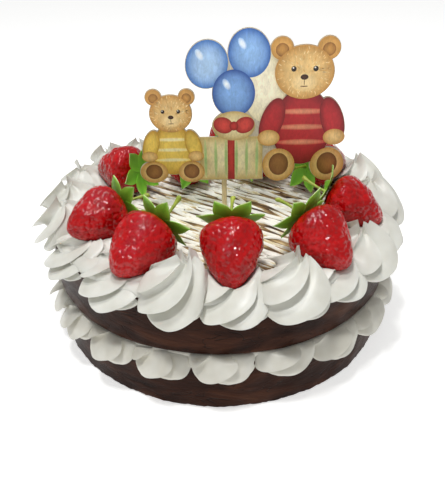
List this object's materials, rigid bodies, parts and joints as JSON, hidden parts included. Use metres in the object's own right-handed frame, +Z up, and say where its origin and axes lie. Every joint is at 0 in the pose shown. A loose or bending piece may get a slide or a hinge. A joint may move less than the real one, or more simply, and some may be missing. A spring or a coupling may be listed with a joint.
{
  "type": "teddy bear cake",
  "caption": "Round two-layer chocolate display cake with piped cream rosettes, strawberries with leaves, drizzle on top and a cut-out teddy bear card on a stick.",
  "frame": {"origin": "middle of the flat underside, where the cake rests", "axes": "+Z up, out of the top; the topper card's printed face looks along -Y, which is the front; +X is to the right seen from the front"},
  "size_m": [0.2232, 0.2224, 0.1747],
  "materials": {
    "chocolate": "dark brown chocolate coating, semi-matte and slightly uneven",
    "cream": "piped cream, warm grey-white, soft satin",
    "strawberry": "deep red, glossy, with fine bumps",
    "leaf": "mid green leaves and olive stem, low sheen",
    "card": "printed die-cut card, satin",
    "wood": "plain pale wood stick"
  },
  "bodies": {
    "root": {"sponge_lower": "chocolate", "cream_filling": "cream", "sponge_upper": "chocolate", "cream_rosette_01": "cream", "cream_rosette_02": "cream", "cream_rosette_03": "cream", "cream_rosette_04": "cream", "cream_rosette_05": "cream", "cream_rosette_06": "cream", "cream_rosette_07": "cream", "cream_rosette_08": "cream", "cream_rosette_09": "cream", "cream_rosette_10": "cream", "cream_rosette_11": "cream", "cream_rosette_12": "cream", "cream_rosette_13": "cream", "cream_rosette_14": "cream", "cream_rosette_15": "cream", "cream_rosette_16": "cream", "cream_rosette_17": "cream", "cream_rosette_18": "cream", "cream_rosette_19": "cream", "cream_rosette_20": "cream", "strawberry_01": "strawberry", "strawberry_02": "strawberry", "strawberry_03": "strawberry", "strawberry_04": "strawberry", "strawberry_05": "strawberry", "strawberry_06": "strawberry", "strawberry_07": "strawberry", "strawberry_08": "strawberry", "strawberry_09": "strawberry", "strawberry_10": "strawberry", "strawberry_leaves_01": "leaf", "strawberry_leaves_02": "leaf", "strawberry_leaves_03": "leaf", "strawberry_leaves_04": "leaf", "strawberry_leaves_05": "leaf", "strawberry_leaves_06": "leaf", "strawberry_leaves_07": "leaf", "strawberry_leaves_08": "leaf", "strawberry_leaves_09": "leaf", "strawberry_leaves_10": "leaf", "topper_card": "card", "topper_stick": "wood"}
  },
  "joints": []
}
